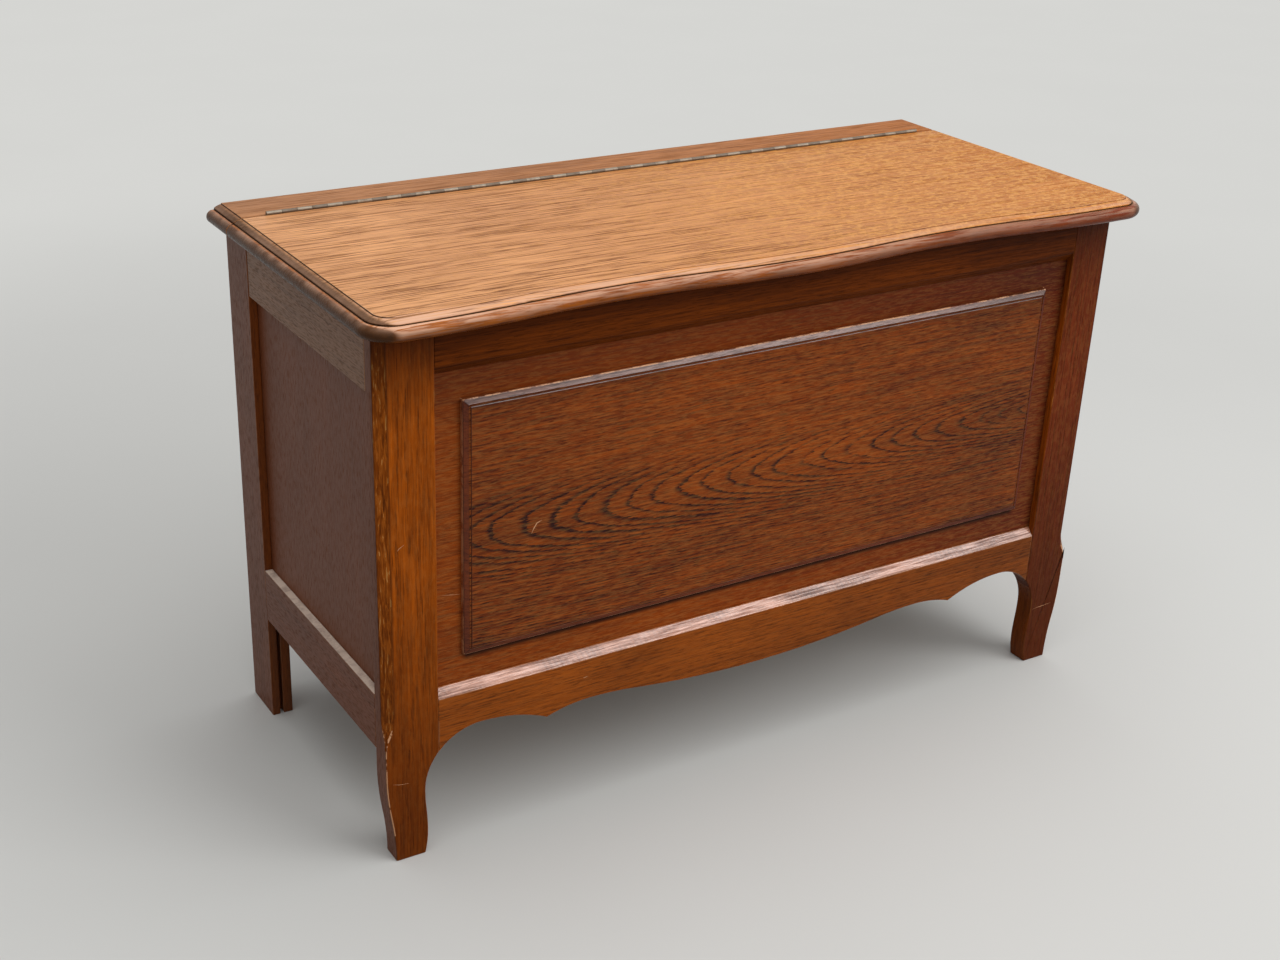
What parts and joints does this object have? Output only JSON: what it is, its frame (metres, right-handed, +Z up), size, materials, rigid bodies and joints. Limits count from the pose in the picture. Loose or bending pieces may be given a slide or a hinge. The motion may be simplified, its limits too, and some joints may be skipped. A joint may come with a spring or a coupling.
{
  "type": "toy chest",
  "caption": "Oak blanket chest on shaped bracket feet, with a raised front panel, scalloped apron, fixed rear strip and a serpentine-fronted lid on a continuous hinge.",
  "frame": {"origin": "on the floor, under the middle of the overall box of the closed chest", "axes": "+X to the right seen from the front, the front faces -Y, +Z up"},
  "size_m": [0.936, 0.4136, 0.5914],
  "materials": {
    "frame_oak": "stained oak, satin varnish",
    "panel_oak": "stained oak, satin varnish",
    "side_oak": "stained oak, satin varnish",
    "side_veneer": "stained oak-faced plywood, satin varnish",
    "plywood": "bare plywood",
    "cleat_softwood": "bare softwood",
    "dowel_beech": "bare beech",
    "strip_oak": "stained oak, satin varnish",
    "lid_oak": "stained oak, satin varnish",
    "hinge_steel": "aged plated steel",
    "screw_steel": "plated steel"
  },
  "bodies": {
    "carcase": {"front_left_post": "frame_oak", "front_right_post": "frame_oak", "front_top_rail": "frame_oak", "front_apron_rail": "frame_oak", "front_panel": "panel_oak", "rear_left_post": "side_oak", "rear_right_post": "side_oak", "left_top_rail": "side_oak", "left_bottom_rail": "side_oak", "right_top_rail": "side_oak", "right_bottom_rail": "side_oak", "back_top_rail": "side_oak", "back_bottom_rail": "side_oak", "left_panel": "side_veneer", "right_panel": "side_veneer", "back_panel": "plywood", "bottom_board": "plywood", "front_cleat": "cleat_softwood", "back_cleat": "cleat_softwood", "left_cleat": "cleat_softwood", "right_cleat": "cleat_softwood", "strip_dowels": "dowel_beech", "rear_top_strip": "strip_oak", "hinge_fixed_leaf": "hinge_steel", "hinge_pin": "hinge_steel", "hinge_fixed_leaf_screws": "screw_steel", "front_cleat_screws": "screw_steel", "back_cleat_screws": "screw_steel", "left_cleat_screws": "screw_steel", "right_cleat_screws": "screw_steel"},
    "lid": {"lid_board": "lid_oak", "hinge_lid_leaf": "hinge_steel", "hinge_lid_leaf_screws": "screw_steel"}
  },
  "joints": [
    {"name": "lid_hinge", "type": "hinge", "parent": "carcase", "child": "lid", "pos_m": [0, 0.1475, 0.5892], "axis": [-1, 0, 0], "range_deg": [0, 180]}
  ]
}
